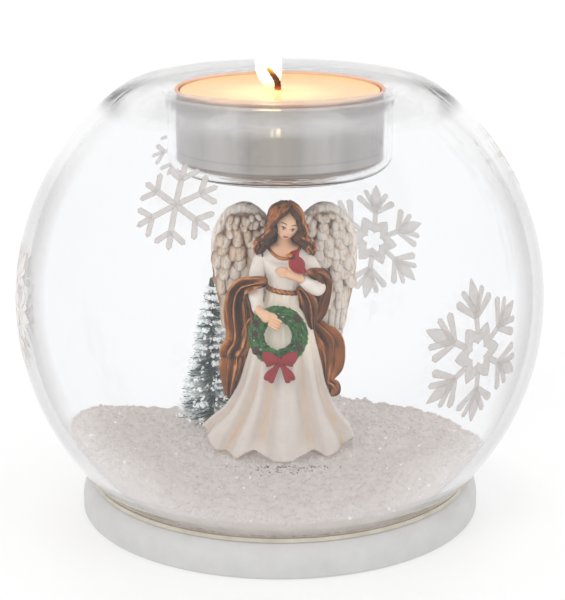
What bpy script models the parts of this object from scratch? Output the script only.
"""Clear glass globe on a white foot, with a tealight let into its top.

Inside the globe an angel figurine and a small bottle-brush tree stand on loose snow.
Units are metres, +Z is up, the front faces -Y, and the origin is the middle of the foot's underside.
"""

import math

import bmesh
import bpy
from mathutils import Matrix, Vector, noise

MM = 0.001
FULL_TURN = 2 * math.pi

# Room that neighbouring pieces leave each other
FIT_GAP = 0.3 * MM

# Steps round every turned piece
TURN_STEPS = 48

# Foot
FOOT_HEIGHT = 6.4 * MM
FOOT_OVERHANG = 2.5 * MM
FOOT_WALL_HEIGHT = 2.6 * MM
FOOT_EDGE_RADIUS = 0.6 * MM
FOOT_SHOULDER_DROP = 0.5 * MM
REGISTER_HEIGHT = 1.0 * MM

# Glass globe
GLOBE_RADIUS = 50.0 * MM
GLOBE_WALL = 2.0 * MM
MOUTH_RADIUS = 36.0 * MM
LIP_WIDTH = 4.55 * MM
CREST_ARC_RADIUS = 9.3 * MM
WELL_WALL = 1.1 * MM
WELL_SIDE_ROOM = 0.35 * MM
WELL_CORNER_ROOM = 0.5 * MM
WELL_FLARE_DEPTH = 7.0 * MM

# Tealight
CUP_RADIUS = 19.25 * MM
CUP_HEIGHT = 13.9 * MM
CUP_WALL = 0.4 * MM
CUP_BEAD = 0.25 * MM
CUP_CORNER_RADIUS = 1.5 * MM
CUP_SINK = 1.6 * MM
WAX_HEADROOM = 1.0 * MM
WICK_RADIUS = 0.6 * MM
WICK_STAND = 4.2 * MM
WICK_LEAN = 1.8 * MM
TAB_RADIUS = 6.0 * MM
TAB_THICKNESS = 0.4 * MM
TAB_COLLAR_HEIGHT = 4.0 * MM
TAB_COLLAR_WALL = 0.5 * MM

# Snow
SNOW_DEPTH = 3.7 * MM
SNOW_DRIFT_RIGHT = 7.6 * MM
SNOW_DRIFT_LEFT = 6.4 * MM
SNOW_BACK_DIP = 2.6 * MM
SNOW_GRAIN = 0.35 * MM

# Angel
FIGURE_X = 0.8 * MM
HEAD_ROOM = 5.7 * MM
HAIR_RISE = 3.7 * MM
HEAD_RISE = 7.2 * MM
SHOULDER_RISE = 7.2 * MM
WAIST_HALF_WIDTH = 3.3 * MM
WAIST_HALF_DEPTH = 2.7 * MM
GOWN_HALF_WIDTH = 13.6 * MM
GOWN_FRONT = 11.6 * MM
GOWN_BACK = 8.2 * MM
GOWN_FLUTES = 8
GOWN_FLUTE_DEPTH = 0.9 * MM
GOWN_HEM_LIFT = 1.1 * MM
PLINTH_SIDE_INSET = 4.6 * MM
PLINTH_BACK_INSET = 2.6 * MM
WING_THICKNESS = 2.0 * MM
WING_SWEEP = math.radians(12)
WREATH_RING_RADIUS = 4.3 * MM
WREATH_ROLL_RADIUS = 1.45 * MM
WREATH_LEAN = math.radians(12)
WREATH_DROP = 6.8 * MM

# Bottle-brush tree
TREE_GAP = 0.55 * MM
TREE_BEARING = math.radians(141)
TREE_HEIGHT = 29.0 * MM
TREE_RADIUS = 6.5 * MM
TREE_TIERS = 9
TREE_POINTS = 12
TREE_WIRE_RADIUS = 0.5 * MM

# Heights that follow from the sizes above
MOUTH_DROP = math.sqrt(GLOBE_RADIUS**2 - MOUTH_RADIUS**2)
GLASS_FOOT_Z = FOOT_HEIGHT + FIT_GAP
GLOBE_Z = GLASS_FOOT_Z + MOUTH_DROP
GLOBE_INNER_RADIUS = GLOBE_RADIUS - GLOBE_WALL
MOUTH_INNER_RADIUS = math.sqrt(GLOBE_INNER_RADIUS**2 - MOUTH_DROP**2)
REGISTER_Z = FOOT_HEIGHT + REGISTER_HEIGHT
FLOOR_Z = REGISTER_Z + FIT_GAP
SNOW_Z = FLOOR_Z + SNOW_DEPTH
HEM_Z = SNOW_Z + FIT_GAP

# The well's own levels: an arc that touches the globe comes level at the lip's crest
WELL_RADIUS = CUP_RADIUS + CUP_BEAD + WELL_SIDE_ROOM
CREST_RADIUS = WELL_RADIUS + LIP_WIDTH
CREST_ARC_Z = GLOBE_Z + math.sqrt((GLOBE_RADIUS - CREST_ARC_RADIUS) ** 2 - CREST_RADIUS**2)
CREST_Z = CREST_ARC_Z + CREST_ARC_RADIUS
CUP_Z = CREST_Z - CUP_SINK - CUP_HEIGHT
WELL_FLOOR_Z = CUP_Z - FIT_GAP
TAB_Z = CUP_Z + CUP_WALL + FIT_GAP
WAX_Z = CUP_Z + CUP_HEIGHT - WAX_HEADROOM

# The angel reaches to its head room under the well
HEAD_Z = WELL_FLOOR_Z - WELL_WALL - HEAD_ROOM - HAIR_RISE
SHOULDER_Z = HEAD_Z - HEAD_RISE
WAIST_Z = SHOULDER_Z - SHOULDER_RISE
PLINTH_HALF_WIDTH = GOWN_HALF_WIDTH - PLINTH_SIDE_INSET
PLINTH_HALF_DEPTH = GOWN_BACK - PLINTH_BACK_INSET

# The tree stands clear of the gown's oval hem, behind it and to the left
HEM_WIDE = GOWN_HALF_WIDTH + GOWN_FLUTE_DEPTH
HEM_DEEP = GOWN_BACK + GOWN_FLUTE_DEPTH
HEM_REACH = HEM_WIDE * HEM_DEEP / math.hypot(
    HEM_DEEP * math.cos(TREE_BEARING), HEM_WIDE * math.sin(TREE_BEARING)
)
TREE_REACH = HEM_REACH + TREE_GAP + TREE_RADIUS
TREE_X = FIGURE_X + TREE_REACH * math.cos(TREE_BEARING)
TREE_Y = TREE_REACH * math.sin(TREE_BEARING)


def clear_scene():
    for old in list(bpy.data.objects):
        bpy.data.objects.remove(old, do_unlink=True)


def add_collection(name):
    group = bpy.data.collections.new(name)
    bpy.context.scene.collection.children.link(group)
    return group


def paint(name, colour, roughness, metallic=0.0, transmission=0.0):
    material = bpy.data.materials.new(name)
    material.use_nodes = True
    shader = material.node_tree.nodes["Principled BSDF"]
    shader.inputs["Base Color"].default_value = (*colour, 1.0)
    shader.inputs["Roughness"].default_value = roughness
    shader.inputs["Metallic"].default_value = metallic
    shader.inputs["Transmission Weight"].default_value = transmission
    return material


def finish_mesh(mesh, material, sharp_degrees=40):
    mesh.materials.clear()
    mesh.materials.append(material)
    mesh.shade_smooth()
    mesh.set_sharp_from_angle(angle=math.radians(sharp_degrees))


def object_from_bmesh(name, bm, group):
    bmesh.ops.recalc_face_normals(bm, faces=bm.faces)
    mesh = bpy.data.meshes.new(name)
    bm.to_mesh(mesh)
    bm.free()
    made = bpy.data.objects.new(name, mesh)
    group.objects.link(made)
    return made


def arc(centre_r, centre_z, radius, start_degrees, end_degrees, steps):
    """Points of an arc in the (radius, height) plane, both ends included."""
    points = []
    for i in range(steps + 1):
        angle = math.radians(start_degrees + (end_degrees - start_degrees) * i / steps)
        points.append((centre_r + radius * math.cos(angle), centre_z + radius * math.sin(angle)))
    return points


def bend(start, start_handle, end_handle, end, steps):
    """Points of a cubic curve in the (radius, height) plane, without its first one."""
    points = []
    for i in range(1, steps + 1):
        t = i / steps
        weights = ((1 - t) ** 3, 3 * t * (1 - t) ** 2, 3 * t * t * (1 - t), t**3)
        ends = (start, start_handle, end_handle, end)
        points.append(tuple(sum(w * p[k] for w, p in zip(weights, ends)) for k in (0, 1)))
    return points


def turned(name, outline, material, group, steps=TURN_STEPS, closed=False):
    """A piece turned about Z from an outline of (radius, height) points, closed off the axis for a ring."""
    bm = bmesh.new()
    corners = [bm.verts.new((r, 0, z)) for r, z in outline]
    for first, second in zip(corners, corners[1:]):
        bm.edges.new((first, second))
    if closed:
        bm.edges.new((corners[-1], corners[0]))
    mesh = bpy.data.meshes.new(name)
    bm.to_mesh(mesh)
    bm.free()
    made = bpy.data.objects.new(name, mesh)
    group.objects.link(made)
    screw = made.modifiers.new("Turn", "SCREW")
    screw.angle = FULL_TURN
    screw.steps = steps
    screw.render_steps = steps
    screw.use_merge_vertices = True
    screw.merge_threshold = 0.000001
    screw.use_smooth_shade = True
    made.data.materials.append(material)
    return made


def skin(name, rings, group):
    """Skin a stack of rings of equal count and close both ends with a fan."""
    bm = bmesh.new()
    loops = [[bm.verts.new(p) for p in ring] for ring in rings]
    count = len(loops[0])
    for low, high in zip(loops, loops[1:]):
        for i in range(count):
            j = (i + 1) % count
            bm.faces.new((low[i], low[j], high[j], high[i]))
    for loop in (loops[0], loops[-1]):
        middle = bm.verts.new(sum((v.co for v in loop), Vector()) / count)
        for i in range(count):
            bm.faces.new((loop[i], loop[(i + 1) % count], middle))
    return object_from_bmesh(name, bm, group)


def limb(name, stations, group, sides=8):
    """A rounded bar through stations of (x, y, z, half width, half depth), all in metres."""
    points = [Vector(s[:3]) for s in stations]
    rings = []
    for i, station in enumerate(stations):
        before = points[max(i - 1, 0)]
        after = points[min(i + 1, len(points) - 1)]
        along = (after - before).normalized()
        deep = (Vector((0, 1, 0)) - along * along.y).normalized()
        across = along.cross(deep)
        ring = []
        for k in range(sides):
            angle = FULL_TURN * (k + 0.5) / sides
            ring.append(
                points[i] + across * station[3] * math.cos(angle) + deep * station[4] * math.sin(angle)
            )
        rings.append(ring)
    return skin(name, rings, group)


def ball(name, centre, half_sizes, group, segments=16, rings=10):
    """An ellipsoid with its place and size in its mesh."""
    bm = bmesh.new()
    bmesh.ops.create_uvsphere(bm, u_segments=segments, v_segments=rings, radius=1.0)
    bmesh.ops.scale(bm, vec=Vector(half_sizes), verts=bm.verts)
    bmesh.ops.translate(bm, vec=Vector(centre), verts=bm.verts)
    return object_from_bmesh(name, bm, group)


def apply_modifiers(target):
    """Bake an object's modifiers into its mesh."""
    graph = bpy.context.evaluated_depsgraph_get()
    mesh = bpy.data.meshes.new_from_object(target.evaluated_get(graph))
    target.modifiers.clear()
    target.data = mesh


def boolean(target, tool, operation):
    """Join a tool to a target or cut it away, and bake the result."""
    modifier = target.modifiers.new(operation, "BOOLEAN")
    modifier.operation = operation
    modifier.solver = "EXACT"
    modifier.object = tool
    apply_modifiers(target)


def keep_outer_skin(target):
    """Fill the pockets that joined shapes shut in between them: only the outermost skin stays."""
    bm = bmesh.new()
    bm.from_mesh(target.data)
    islands = []
    waiting = set(bm.faces)
    while waiting:
        island = {waiting.pop()}
        front = list(island)
        while front:
            near = {face for edge in front.pop().edges for face in edge.link_faces} - island
            island |= near
            front += near
        waiting -= island
        islands.append(island)
    islands.sort(key=len)
    inner = [face for island in islands[:-1] for face in island]
    bmesh.ops.delete(bm, geom=inner, context="FACES")
    bm.to_mesh(target.data)
    bm.free()


def hide_guide(guide):
    guide.hide_render = True
    guide.display_type = "WIRE"


def smooth_step(low, high, value):
    share = min(max((value - low) / (high - low), 0), 1)
    return share * share * (3 - 2 * share)


# Foot
def build_foot(group):
    radius = MOUTH_RADIUS + FOOT_OVERHANG
    seat_radius = MOUTH_RADIUS + FIT_GAP
    register_radius = MOUTH_INNER_RADIUS - FIT_GAP
    shoulder_z = FOOT_HEIGHT - FOOT_SHOULDER_DROP
    edge = FOOT_EDGE_RADIUS
    outline = [(0, REGISTER_Z), (register_radius, REGISTER_Z), (register_radius, FOOT_HEIGHT)]
    outline.append((seat_radius, FOOT_HEIGHT))
    outline += bend(
        (seat_radius, FOOT_HEIGHT),
        (seat_radius + 0.5 * (radius - seat_radius), shoulder_z + 0.2 * FOOT_SHOULDER_DROP),
        (radius, 0.5 * (shoulder_z + FOOT_WALL_HEIGHT)),
        (radius, FOOT_WALL_HEIGHT),
        5,
    )
    outline += arc(radius - edge, edge, edge, 0, -90, 3)
    outline.append((0, 0))
    white = paint("foot_white", (0.82, 0.82, 0.82), 0.55)
    return turned("foot", outline, white, group)


# Glass globe and the tealight well that is blown in one piece with it
def glass_outside():
    """The glass's outer face from the middle of the well's floor to the mouth."""
    corner = CUP_CORNER_RADIUS + WELL_CORNER_ROOM
    points = [(0, WELL_FLOOR_Z)]
    points += arc(WELL_RADIUS - corner, WELL_FLOOR_Z + corner, corner, -90, 0, 4)
    flare_start = (WELL_RADIUS, CREST_Z - WELL_FLARE_DEPTH)
    flare_handle = (WELL_RADIUS, CREST_Z - 0.47 * WELL_FLARE_DEPTH)
    crest_handle = (WELL_RADIUS + 0.23 * LIP_WIDTH, CREST_Z)
    points.append(flare_start)
    points += bend(flare_start, flare_handle, crest_handle, (CREST_RADIUS, CREST_Z), 6)
    touch_degrees = math.degrees(math.atan2(CREST_ARC_Z - GLOBE_Z, CREST_RADIUS))
    points += arc(CREST_RADIUS, CREST_ARC_Z, CREST_ARC_RADIUS, 90, touch_degrees, 3)[1:]
    mouth_degrees = -math.degrees(math.asin(MOUTH_DROP / GLOBE_RADIUS))
    points += arc(0, GLOBE_Z, GLOBE_RADIUS, touch_degrees, mouth_degrees, 12)[1:]
    return points


def wall_at(point):
    """Wall thickness: thin in the well, thick in the globe, blending over the lip."""
    share = smooth_step(WELL_RADIUS, CREST_RADIUS + CREST_ARC_RADIUS / 2, point[0])
    return WELL_WALL + (GLOBE_WALL - WELL_WALL) * share


def glass_inside(outside):
    """The cavity face: the outer face moved in by the wall, from the mouth back to the axis."""
    inside = []
    for i, (r, z) in enumerate(outside[1:-1], start=1):
        before, after = outside[i - 1], outside[i + 1]
        step_r, step_z = after[0] - before[0], after[1] - before[1]
        length = math.hypot(step_r, step_z)
        wall = wall_at((r, z))
        inside.append((r + wall * step_z / length, z - wall * step_r / length))
    inside.append((MOUTH_INNER_RADIUS, outside[-1][1]))
    inside.reverse()
    inside.append((0, outside[0][1] - WELL_WALL))
    return inside


def build_globe(group):
    outside = glass_outside()
    clear = paint("clear_glass", (0.95, 0.97, 0.97), 0.02, transmission=1.0)
    return turned("glass_globe", outside + glass_inside(outside), clear, group)


# Tealight
def build_cup(group):
    rim_z = CUP_Z + CUP_HEIGHT
    corner = CUP_CORNER_RADIUS
    bore = CUP_RADIUS - CUP_WALL
    outline = [(0, CUP_Z + CUP_WALL)]
    outline += arc(CUP_RADIUS - corner, CUP_Z + corner, corner - CUP_WALL, -90, 0, 3)
    outline += [(bore, rim_z), (CUP_RADIUS + CUP_BEAD, rim_z)]
    outline.append((CUP_RADIUS + CUP_BEAD, rim_z - 2 * CUP_WALL))
    outline.append((CUP_RADIUS, rim_z - 2 * CUP_WALL - CUP_BEAD))
    outline += arc(CUP_RADIUS - corner, CUP_Z + corner, corner, 0, -90, 3)
    outline.append((0, CUP_Z))
    tin = paint("cup_aluminium", (0.78, 0.77, 0.76), 0.3, metallic=1.0)
    return turned("tealight_cup", outline, tin, group)


def build_wax(group):
    """The wax is cast round the wick's tin foot, so its underside has a pocket for it."""
    low = TAB_Z
    radius = CUP_RADIUS - CUP_WALL - FIT_GAP
    corner = CUP_CORNER_RADIUS
    pocket_r = TAB_RADIUS + FIT_GAP
    pocket_z = low + TAB_THICKNESS + FIT_GAP
    collar_r = WICK_RADIUS + FIT_GAP + TAB_COLLAR_WALL + FIT_GAP
    collar_z = low + TAB_COLLAR_HEIGHT + FIT_GAP
    bore = WICK_RADIUS + FIT_GAP
    outline = [(bore, collar_z), (bore, WAX_Z), (radius, WAX_Z)]
    outline += arc(radius - corner, low + corner, corner, 0, -90, 3)
    outline += [(pocket_r, low), (pocket_r, pocket_z), (collar_r, pocket_z), (collar_r, collar_z)]
    wax = paint("wax_cream", (0.95, 0.82, 0.6), 0.4)
    return turned("tealight_wax", outline, wax, group, closed=True)


def build_tab(group):
    low = TAB_Z
    bore = WICK_RADIUS + FIT_GAP
    collar_r = bore + TAB_COLLAR_WALL
    deck = low + TAB_THICKNESS
    outline = [(0, deck), (bore, deck), (bore, low + TAB_COLLAR_HEIGHT)]
    outline += [(collar_r, low + TAB_COLLAR_HEIGHT), (collar_r, deck), (TAB_RADIUS, deck)]
    outline += [(TAB_RADIUS, low), (0, low)]
    tin = paint("tab_tin", (0.6, 0.6, 0.6), 0.4, metallic=1.0)
    return turned("wick_tab", outline, tin, group, TURN_STEPS // 2)


def build_wick(group):
    """A cord that stands in the tab's collar and leans over above the wax."""
    route = [(0, TAB_Z + TAB_THICKNESS + FIT_GAP), (0, WAX_Z), (0, WAX_Z + 0.35 * WICK_STAND)]
    route += [(-0.25 * WICK_LEAN, WAX_Z + 0.6 * WICK_STAND), (-WICK_LEAN, WAX_Z + WICK_STAND)]
    stations = [(x, 0, z, WICK_RADIUS, WICK_RADIUS) for x, z in route]
    wick = limb("tealight_wick", stations, group)
    finish_mesh(wick.data, paint("wick_black", (0.06, 0.05, 0.04), 0.9))
    return wick


# Snow
def snow_edge_rise(turn):
    """How far the snow lies above its middle at the glass; turn is 0 at the front, + to the right."""
    drift = SNOW_DRIFT_RIGHT if turn > 0 else SNOW_DRIFT_LEFT
    spread = abs(turn)
    climb = smooth_step(math.radians(26), math.radians(46), spread)
    fall = smooth_step(math.radians(50), math.radians(118), spread)
    dip = smooth_step(math.radians(100), math.radians(155), spread)
    return drift * climb * (1 - fall) - SNOW_BACK_DIP * dip


def snow_top(x, y):
    reach = math.hypot(x, y) / GLOBE_INNER_RADIUS
    rise = snow_edge_rise(math.atan2(x, -y)) * smooth_step(0.42, 0.82, reach)
    spot = Vector((x, y, 0)) / (3.2 * MM)
    return SNOW_Z + rise + SNOW_GRAIN * noise.noise(spot) * smooth_step(0.3, 0.45, reach)


def snow_reach(z):
    """Radius of the snow's side at a height, a gap inside the glass."""
    return math.sqrt(GLOBE_INNER_RADIUS**2 - (z - GLOBE_Z) ** 2) - FIT_GAP


def build_snow(group, cutters):
    turns = [FULL_TURN * i / TURN_STEPS for i in range(TURN_STEPS)]
    edge = []
    for turn in turns:
        reach = snow_reach(SNOW_Z)
        for _ in range(4):
            top = snow_top(reach * math.cos(turn), reach * math.sin(turn))
            reach = snow_reach(top)
        edge.append((reach, top))

    def side_ring(share):
        ring = []
        for turn, (_, top) in zip(turns, edge):
            z = FLOOR_Z + (top - FLOOR_Z) * share
            ring.append((snow_reach(z) * math.cos(turn), snow_reach(z) * math.sin(turn), z))
        return ring

    def top_ring(share):
        ring = []
        for turn, (reach, top) in zip(turns, edge):
            x, y = share * reach * math.cos(turn), share * reach * math.sin(turn)
            ring.append((x, y, snow_top(x, y)))
        return ring

    rings = [side_ring(share) for share in (0, 0.35, 0.7, 1)]
    rings += [top_ring(share) for share in (0.9, 0.8, 0.7, 0.6, 0.5, 0.36, 0.18)]
    snow = skin("snow_bed", rings, group)
    tall = 3 * SNOW_DEPTH
    plinth_hole = bar_cutter(
        "plinth_hole", FIGURE_X, 0, PLINTH_HALF_WIDTH + FIT_GAP, PLINTH_HALF_DEPTH + FIT_GAP, tall, cutters
    )
    wire_room = TREE_WIRE_RADIUS + FIT_GAP
    wire_hole = bar_cutter("wire_hole", TREE_X, TREE_Y, wire_room, wire_room, tall, cutters)
    for hole in (plinth_hole, wire_hole):
        boolean(snow, hole, "DIFFERENCE")
        hide_guide(hole)
    finish_mesh(snow.data, paint("snow_white", (0.9, 0.9, 0.9), 0.9), 70)
    return snow


def bar_cutter(name, x, y, half_width, half_depth, height, cutters):
    """An upright oval bar through the snow's floor, turned half a step off the snow's own corners."""
    bm = bmesh.new()
    sides = TURN_STEPS // 2
    bmesh.ops.create_cone(bm, cap_ends=True, segments=sides, radius1=1, radius2=1, depth=2 * height)
    half_step = Matrix.Rotation(FULL_TURN / (2 * sides), 3, "Z")
    bmesh.ops.rotate(bm, cent=(0, 0, 0), matrix=half_step, verts=bm.verts)
    bmesh.ops.scale(bm, vec=Vector((half_width, half_depth, 1)), verts=bm.verts)
    bmesh.ops.translate(bm, vec=Vector((x, y, FLOOR_Z)), verts=bm.verts)
    return object_from_bmesh(name, bm, cutters)


# Angel, cast in one piece
def oval_ring(z, half_width, front, back, flute=0.0, lift=0.0):
    """A body section: an oval, deeper at the front than the back, with soft flutes."""
    ring = []
    count = 6 * GOWN_FLUTES
    for i in range(count):
        turn = FULL_TURN * i / count
        wave = math.cos(GOWN_FLUTES * turn)
        depth = back if math.sin(turn) > 0 else front
        ring.append(
            Vector(
                (
                    FIGURE_X + (half_width + flute * wave) * math.cos(turn),
                    (depth + flute * wave) * math.sin(turn),
                    z + lift * (0.5 + 0.5 * wave),
                )
            )
        )
    return ring


def gown_reach(share, at_waist, at_hem):
    """The gown flares out at the hem and draws in to the waist, where share is 1."""
    draw = 0.84 * (1 - share) ** 0.85 + 0.16 * (1 - share) ** 4
    return at_waist + (at_hem - at_waist) * draw


def build_body(group):
    flute = GOWN_FLUTE_DEPTH
    lift = GOWN_HEM_LIFT
    wide, front, back = GOWN_HALF_WIDTH, GOWN_FRONT, GOWN_BACK

    def gown_ring(share):
        """Share 0 is the hem, 1 the waist."""
        return oval_ring(
            HEM_Z + share * (WAIST_Z - HEM_Z) + 0.2 * MM,
            gown_reach(share, WAIST_HALF_WIDTH, wide),
            gown_reach(share, WAIST_HALF_DEPTH, front),
            gown_reach(share, WAIST_HALF_DEPTH, back),
            flute * (1 - share) ** 1.2,
            lift * (1 - share) ** 6,
        )

    plinth = (PLINTH_HALF_WIDTH, PLINTH_HALF_DEPTH, PLINTH_HALF_DEPTH)
    rings = [oval_ring(FLOOR_Z, *plinth), oval_ring(HEM_Z + 1.2 * MM, *plinth)]
    rings.append(oval_ring(HEM_Z + 0.6 * MM, wide - 1.6 * MM, front - 1.6 * MM, back - 1.6 * MM, flute, lift))
    rings.append(oval_ring(HEM_Z, wide - 0.5 * MM, front - 0.5 * MM, back - 0.5 * MM, flute, lift))
    rings += [gown_ring(share) for share in (0.02, 0.08, 0.16, 0.26, 0.4, 0.56, 0.72, 0.88, 1)]
    rings.append(oval_ring(WAIST_Z + 2.4 * MM, 3.7 * MM, 3.1 * MM, 2.6 * MM))
    rings.append(oval_ring(WAIST_Z + 4.6 * MM, 4.3 * MM, 3.4 * MM, 2.6 * MM))
    rings.append(oval_ring(SHOULDER_Z - 0.6 * MM, 4.9 * MM, 2.5 * MM, 2.2 * MM))
    rings.append(oval_ring(SHOULDER_Z + 0.9 * MM, 3.4 * MM, 1.9 * MM, 1.8 * MM))
    rings.append(oval_ring(SHOULDER_Z + 1.9 * MM, 1.5 * MM, 1.4 * MM, 1.4 * MM))
    rings.append(oval_ring(SHOULDER_Z + 5.0 * MM, 1.35 * MM, 1.3 * MM, 1.3 * MM))
    return skin("angel_figurine", rings, group)


def head_parts(guides):
    """Head, and the hair that frames it and falls on the shoulders."""
    z = HEAD_Z
    x = FIGURE_X + 0.2 * MM
    parts = [ball("head", (x, -1.7 * MM, z - 0.7 * MM), (2.2 * MM, 2.6 * MM, 3.0 * MM), guides)]
    hair_half = (3.5 * MM, 3.5 * MM, HAIR_RISE - 0.1 * MM)
    parts.append(ball("hair", (x - 0.1 * MM, -0.4 * MM, z + 0.1 * MM), hair_half, guides))
    for side in (-1, 1):
        lock = []
        for across, deep, down, half in (
            (2.6, -1.6, -1.0, 1.0),
            (3.2, -1.7, 1.2, 1.3),
            (4.2, -1.8, 3.6, 1.5),
            (4.9, -1.7, 5.8, 1.3),
            (5.1, -1.6, 7.0, 0.6),
        ):
            lock.append((x + side * across * MM, deep * MM, z - down * MM, half * MM, 1.2 * half * MM))
        parts.append(limb("lock", lock, guides))
    back = [(x, 1.6 * MM, z + 1.5 * MM, 2.4 * MM, 1.2 * MM), (x, 1.9 * MM, z - 4 * MM, 3.6 * MM, 1.3 * MM)]
    back.append((x, 2.0 * MM, z - 10 * MM, 3.2 * MM, 1.1 * MM))
    parts.append(limb("back_hair", back, guides))
    return parts


def wing_outline():
    """Half of the pair seen from the front, as (distance from the figure's axis, rise over the waist)."""
    return (
        (2.2, 12.6),
        (4.2, 14.4),
        (5.9, 16.0),
        (8.0, 16.3),
        (10.2, 15.3),
        (12.0, 13.4),
        (13.4, 10.6),
        (14.0, 7.2),
        (13.9, 3.0),
        (13.2, -1.5),
        (12.2, -6.0),
        (11.0, -10.2),
        (9.9, -12.6),
        (8.6, -11.0),
        (6.8, -6.4),
        (4.8, -2.0),
        (2.4, 2.0),
    )


def wing_parts(guides):
    parts = []
    for side in (-1, 1):
        bm = bmesh.new()
        corners = []
        for across, rise in wing_outline():
            x = FIGURE_X + side * across * MM
            y = 1.6 * MM + across * MM * math.sin(WING_SWEEP)
            corners.append(bm.verts.new((x, y, WAIST_Z + rise * MM)))
        face = bm.faces.new(corners)
        solid = bmesh.ops.extrude_face_region(bm, geom=[face])
        moved = [v for v in solid["geom"] if isinstance(v, bmesh.types.BMVert)]
        bmesh.ops.translate(bm, vec=Vector((0, WING_THICKNESS, 0)), verts=moved)
        wing = object_from_bmesh("wing", bm, guides)
        rounding = wing.modifiers.new("Round", "BEVEL")
        rounding.width = 0.3 * WING_THICKNESS
        rounding.segments = 2
        rounding.limit_method = "ANGLE"
        rounding.angle_limit = math.radians(60)
        apply_modifiers(wing)
        parts.append(wing)
    return parts


def body_station(across, deep, rise, half_width, half_depth):
    """A limb station in millimetres, from the figure's axis and the waist."""
    return (
        FIGURE_X + across * MM,
        deep * MM,
        WAIST_Z + rise * MM,
        half_width * MM,
        half_depth * MM,
    )


def limb_parts(guides):
    """Sleeves, hands and the stole over both elbows."""
    shapes = {
        "left_sleeve": (
            (-4.0, -0.3, 7.0, 1.7, 1.7),
            (-5.2, -0.8, 3.6, 1.75, 1.7),
            (-5.7, -1.8, 0.0, 1.65, 1.6),
            (-4.7, -4.6, -3.0, 1.25, 1.3),
        ),
        "left_hand": (
            (-5.0, -3.6, -1.8, 0.8, 0.8),
            (-4.4, -5.2, -3.4, 0.95, 0.95),
            (-2.6, -6.6, -4.6, 1.05, 1.0),
            (-1.0, -6.8, -5.4, 0.9, 0.8),
            (-0.3, -6.6, -6.0, 0.5, 0.5),
        ),
        "right_sleeve": (
            (4.1, -0.3, 6.8, 1.7, 1.7),
            (5.9, -1.2, 4.0, 1.8, 1.7),
            (6.9, -2.6, 1.2, 1.6, 1.6),
            (4.6, -4.2, 2.2, 1.35, 1.4),
            (3.2, -4.8, 3.4, 1.15, 1.2),
        ),
        "right_hand": (
            (4.2, -4.3, 2.6, 0.8, 0.8),
            (3.0, -4.9, 3.6, 0.9, 0.9),
            (1.4, -5.0, 4.8, 1.0, 0.9),
            (-0.8, -4.6, 5.3, 1.0, 0.8),
            (-1.7, -4.1, 5.2, 0.5, 0.5),
        ),
        "left_stole": (
            (-3.4, -2.4, 1.6, 1.2, 1.0),
            (-6.4, -1.8, 2.2, 1.5, 1.2),
            (-8.6, 0.2, 0.6, 1.6, 1.3),
            (-9.0, 1.2, -3.4, 2.1, 1.2),
            (-8.2, 1.4, -8.4, 2.4, 1.2),
            (-8.2, 1.4, -12.0, 2.3, 1.1),
            (-9.7, 1.2, -14.4, 2.1, 1.1),
            (-10.0, 1.0, -19.0, 1.9, 1.0),
            (-9.6, 0.8, -22.6, 0.8, 0.6),
        ),
        "right_stole": (
            (4.4, -1.2, 0.6, 1.3, 1.2),
            (6.6, -0.2, 2.6, 1.9, 1.5),
            (8.2, 0.4, 0.6, 1.6, 1.4),
            (7.2, 1.0, -5.0, 1.9, 1.3),
            (8.0, 1.4, -9.6, 2.4, 1.2),
            (10.6, 1.6, -11.6, 2.2, 1.2),
            (11.0, 1.4, -15.0, 1.9, 1.1),
            (9.8, 1.2, -19.4, 1.3, 1.0),
            (9.4, 1.0, -22.6, 1.1, 0.8),
        ),
    }
    return [
        limb(name, [body_station(*station) for station in stations], guides)
        for name, stations in shapes.items()
    ]


def spun_ring(ring_radius, roll_radius, steps, sides):
    """A ring round the Y axis: a circle spun about the middle."""
    bm = bmesh.new()
    bmesh.ops.create_circle(bm, segments=sides, radius=roll_radius)
    bmesh.ops.translate(bm, vec=Vector((ring_radius, 0, 0)), verts=bm.verts)
    bmesh.ops.spin(
        bm,
        geom=bm.verts[:] + bm.edges[:],
        cent=(0, 0, 0),
        axis=(0, 1, 0),
        angle=FULL_TURN,
        steps=steps,
        use_merge=True,
    )
    bmesh.ops.remove_doubles(bm, verts=bm.verts, dist=0.001 * MM)
    return bm


def wreath_parts(guides):
    """The ring held low against the gown's front, and its bow."""
    share = (WAIST_Z - WREATH_DROP - HEM_Z) / (WAIST_Z - HEM_Z)
    deep = -(gown_reach(share, WAIST_HALF_DEPTH, GOWN_FRONT) + 0.9 * WREATH_ROLL_RADIUS) / MM
    drop = WREATH_DROP / MM
    middle = Vector(body_station(-1.2, deep, -drop, 0, 0)[:3])
    bm = spun_ring(WREATH_RING_RADIUS, WREATH_ROLL_RADIUS, 28, 8)
    lean = Matrix.Rotation(-WREATH_LEAN, 3, "X")
    bmesh.ops.rotate(bm, cent=(0, 0, 0), matrix=lean, verts=bm.verts)
    bmesh.ops.translate(bm, vec=middle, verts=bm.verts)
    parts = [object_from_bmesh("wreath", bm, guides)]
    low = -drop - (WREATH_RING_RADIUS + 0.8 * WREATH_ROLL_RADIUS) / MM
    knot = body_station(-0.8, deep - 1.9, low, 0, 0)[:3]
    parts.append(ball("bow_knot", knot, (0.8 * MM, 0.8 * MM, 0.8 * MM), guides, 10, 6))
    for side in (-1, 1):
        loop = ((0.2, 0.0, 0.5), (1.4, 0.35, 1.0), (2.7, 0.5, 1.15), (3.4, 0.3, 0.7))
        tail = ((0.1, -0.3, 0.45), (1.2, -2.0, 0.6), (2.4, -3.9, 0.75), (2.7, -4.3, 0.4))
        for shape, ahead in ((loop, 1.8), (tail, 1.6)):
            stations = [
                body_station(-0.8 + side * across, deep - ahead, low + rise, half, 0.55)
                for across, rise, half in shape
            ]
            parts.append(limb("bow", stations, guides))
    return parts


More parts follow.
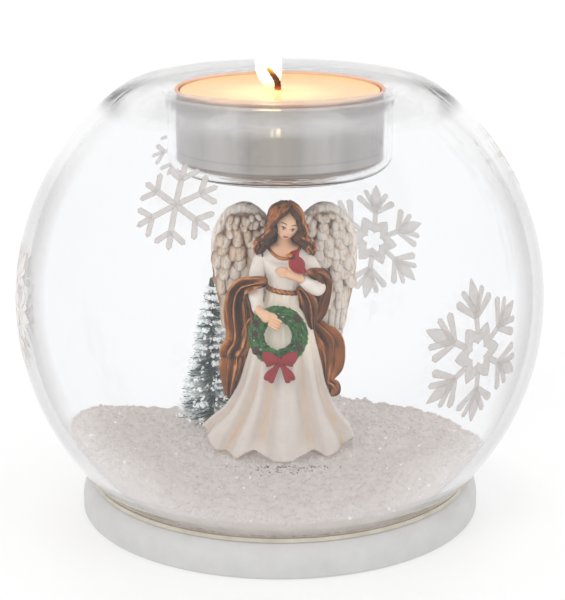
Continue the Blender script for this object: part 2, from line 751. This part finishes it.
def bird_parts(guides):
    """The small bird that perches on the raised hand."""
    body = ((3.0, 5.0, 0.5), (2.6, 6.0, 1.0), (2.0, 7.0, 1.15), (1.7, 8.1, 0.9), (1.7, 9.1, 0.45))
    stations = [body_station(across, -5.6, rise, half, 0.9 * half) for across, rise, half in body[::-1]]
    tail = [body_station(2.5, -5.5, 6.2, 0.6, 0.45), body_station(4.0, -5.2, 4.4, 0.4, 0.35)]
    beak = [body_station(1.5, -6.0, 8.0, 0.5, 0.5), body_station(0.6, -6.5, 8.0, 0.15, 0.15)]
    return [limb("bird", stations, guides), limb("bird_tail", tail, guides), limb("beak", beak, guides)]


def build_angel(group, guides):
    angel = build_body(group)
    pieces = head_parts(guides) + wing_parts(guides) + limb_parts(guides)
    pieces += wreath_parts(guides) + bird_parts(guides)
    for piece in pieces:
        boolean(angel, piece, "UNION")
        hide_guide(piece)
    keep_outer_skin(angel)
    finish_mesh(angel.data, paint("angel_ivory", (0.84, 0.79, 0.73), 0.5), 60)
    return angel


# Bottle-brush tree
def tree_ring(z, radius, phase):
    ring = []
    count = 2 * TREE_POINTS
    for i in range(count):
        turn = FULL_TURN * i / count
        reach = radius * (1.0 if (i + phase) % 2 else 0.8)
        ring.append((TREE_X + reach * math.cos(turn), TREE_Y + reach * math.sin(turn), z))
    return ring


def build_tree(group, cutters):
    """Bristles held in a twisted wire: spiky tiers that narrow to the tip."""
    low = SNOW_Z + 3 * FIT_GAP
    rise = TREE_HEIGHT / TREE_TIERS
    room = TREE_WIRE_RADIUS + FIT_GAP
    tip_radius = 1.7 * room
    rings = []
    for tier in range(TREE_TIERS):
        wide = tip_radius + (TREE_RADIUS - tip_radius) * (1 - tier / TREE_TIERS)
        rings.append(tree_ring(low + tier * rise, 0.72 * wide, tier))
        rings.append(tree_ring(low + (tier + 0.35) * rise, wide, tier))
    rings.append(tree_ring(low + TREE_HEIGHT, tip_radius, 0))
    bristles = skin("tree_bristles", rings, group)
    wire_top = low + TREE_HEIGHT + 0.6 * MM
    bore = bar_cutter("bristle_bore", TREE_X, TREE_Y, room, room, 2 * TREE_HEIGHT, cutters)
    boolean(bristles, bore, "DIFFERENCE")
    hide_guide(bore)
    finish_mesh(bristles.data, paint("tree_green", (0.05, 0.13, 0.12), 0.8), 20)
    stations = [
        (TREE_X, TREE_Y, z, TREE_WIRE_RADIUS, TREE_WIRE_RADIUS) for z in (FLOOR_Z, 0.5 * wire_top, wire_top)
    ]
    wire = limb("tree_wire", stations, group)
    finish_mesh(wire.data, paint("wire_grey", (0.3, 0.32, 0.3), 0.4, metallic=1.0))


def main():
    clear_scene()
    holder = add_collection("globe_tealight_holder")
    guides = add_collection("cutters")
    build_foot(holder)
    build_globe(holder)
    build_cup(holder)
    build_wax(holder)
    build_tab(holder)
    build_wick(holder)
    build_snow(holder, guides)
    build_angel(holder, guides)
    build_tree(holder, guides)


main()
